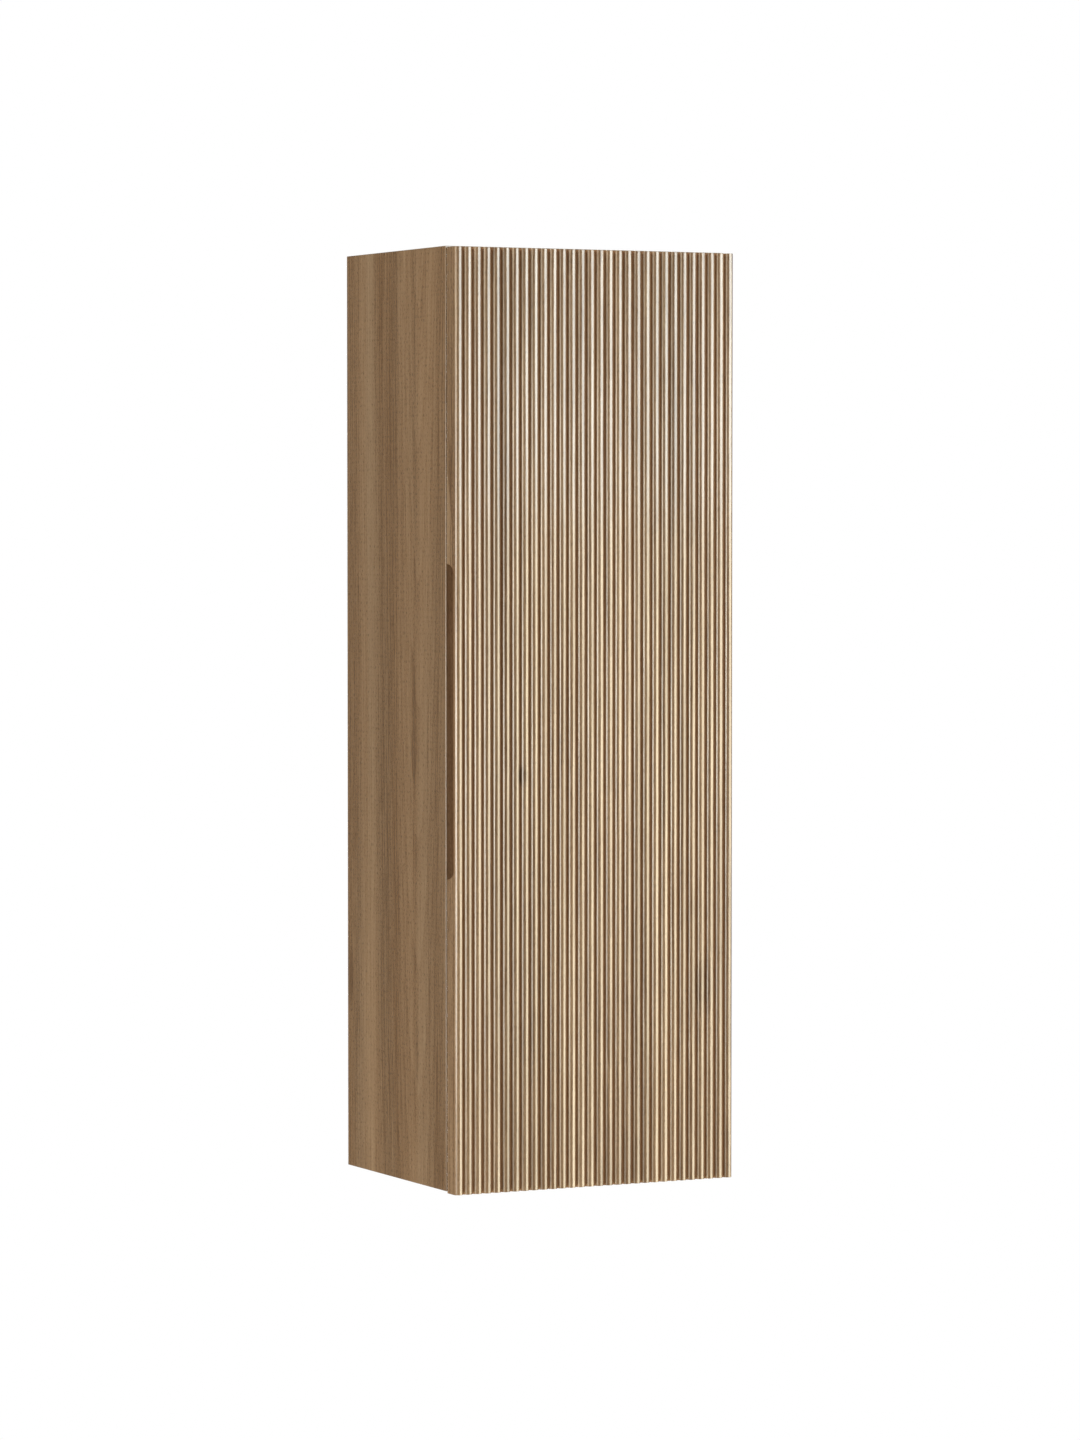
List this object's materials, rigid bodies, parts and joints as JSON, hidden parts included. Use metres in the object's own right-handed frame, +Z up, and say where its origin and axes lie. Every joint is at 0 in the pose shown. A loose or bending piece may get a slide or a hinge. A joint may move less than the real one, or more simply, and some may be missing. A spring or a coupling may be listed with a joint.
{
  "type": "wall cabinet",
  "caption": "tall narrow wall cabinet with a full overlay door of upright half-round ribs, a milled finger pull, concealed hinges, shelves and rear hanging rail",
  "frame": {"origin": "on the wall face of the hanging rail, in the middle of the width", "axes": "+Z up, the door faces -Y, the wall is at Y = 0, +X is to the right when facing the door"},
  "size_m": [0.4, 0.3289, 1.202],
  "materials": {
    "oak_veneer": "satin lacquered oak veneer, grain upright",
    "back_board": "thin oak-faced board",
    "rail_board": "bare particle board with oak edge",
    "plated_steel": "nickel-plated pressed steel",
    "hanger_plastic": "moulded off-white plastic",
    "bumper_rubber": "soft clear pad",
    "beech_dowel": "bare beech, fluted and glued"
  },
  "bodies": {
    "cabinet_body": {"left_side_panel": "oak_veneer", "right_side_panel": "oak_veneer", "top_panel": "oak_veneer", "bottom_panel": "oak_veneer", "back_panel": "back_board", "hanging_rail": "rail_board", "lower_back_rail": "rail_board", "shelf_lower": "oak_veneer", "shelf_middle": "oak_veneer", "shelf_upper": "oak_veneer", "shelf_pin_lower_left_front": "plated_steel", "shelf_pin_lower_left_rear": "plated_steel", "shelf_pin_lower_right_front": "plated_steel", "shelf_pin_lower_right_rear": "plated_steel", "shelf_pin_middle_left_front": "plated_steel", "shelf_pin_middle_left_rear": "plated_steel", "shelf_pin_middle_right_front": "plated_steel", "shelf_pin_middle_right_rear": "plated_steel", "shelf_pin_upper_left_front": "plated_steel", "shelf_pin_upper_left_rear": "plated_steel", "shelf_pin_upper_right_front": "plated_steel", "shelf_pin_upper_right_rear": "plated_steel", "hanger_housing_left": "hanger_plastic", "hanger_housing_right": "hanger_plastic", "hanger_hook_left": "plated_steel", "hanger_hook_right": "plated_steel", "hinge_lower_mounting_plate": "plated_steel", "hinge_middle_mounting_plate": "plated_steel", "hinge_upper_mounting_plate": "plated_steel", "hinge_lower_arm": "plated_steel", "hinge_middle_arm": "plated_steel", "hinge_upper_arm": "plated_steel", "dowel_bottom_panel_left_front": "beech_dowel", "dowel_bottom_panel_left_rear": "beech_dowel", "dowel_bottom_panel_right_front": "beech_dowel", "dowel_bottom_panel_right_rear": "beech_dowel", "dowel_hanging_rail_left_lower": "beech_dowel", "dowel_hanging_rail_left_upper": "beech_dowel", "dowel_hanging_rail_right_lower": "beech_dowel", "dowel_hanging_rail_right_upper": "beech_dowel", "dowel_lower_back_rail_left_middle": "beech_dowel", "dowel_lower_back_rail_right_middle": "beech_dowel", "dowel_top_panel_left_front": "beech_dowel", "dowel_top_panel_left_rear": "beech_dowel", "dowel_top_panel_right_front": "beech_dowel", "dowel_top_panel_right_rear": "beech_dowel"},
    "outer_links": {"hinge_lower_outer_link": "plated_steel", "hinge_middle_outer_link": "plated_steel", "hinge_upper_outer_link": "plated_steel"},
    "inner_links": {"hinge_lower_inner_link": "plated_steel", "hinge_middle_inner_link": "plated_steel", "hinge_upper_inner_link": "plated_steel"},
    "door": {"door_panel": "oak_veneer", "door_bumper_upper": "bumper_rubber", "door_bumper_lower": "bumper_rubber", "hinge_lower_cup": "plated_steel", "hinge_middle_cup": "plated_steel", "hinge_upper_cup": "plated_steel"}
  },
  "joints": [
    {"name": "outer_links_swing", "type": "hinge", "parent": "cabinet_body", "child": "outer_links", "pos_m": [0.1655, -0.278, -0.476], "axis": [0, 0, 1], "range_deg": [-29, 0]},
    {"name": "door_swing", "type": "hinge", "parent": "outer_links", "child": "door", "pos_m": [0.1899, -0.3051, -0.476], "axis": [0, 0, 1], "range_deg": [0, 124]},
    {"name": "inner_links_swing", "type": "hinge", "parent": "cabinet_body", "child": "inner_links", "pos_m": [0.162, -0.2974, -0.476], "axis": [0, 0, 1], "range_deg": [-21.9, 0]}
  ],
  "couplings": [
    {"joint": "outer_links_swing", "follows": "door_swing", "ratio": -0.23372},
    {"joint": "inner_links_swing", "follows": "door_swing", "ratio": -0.17625}
  ]
}
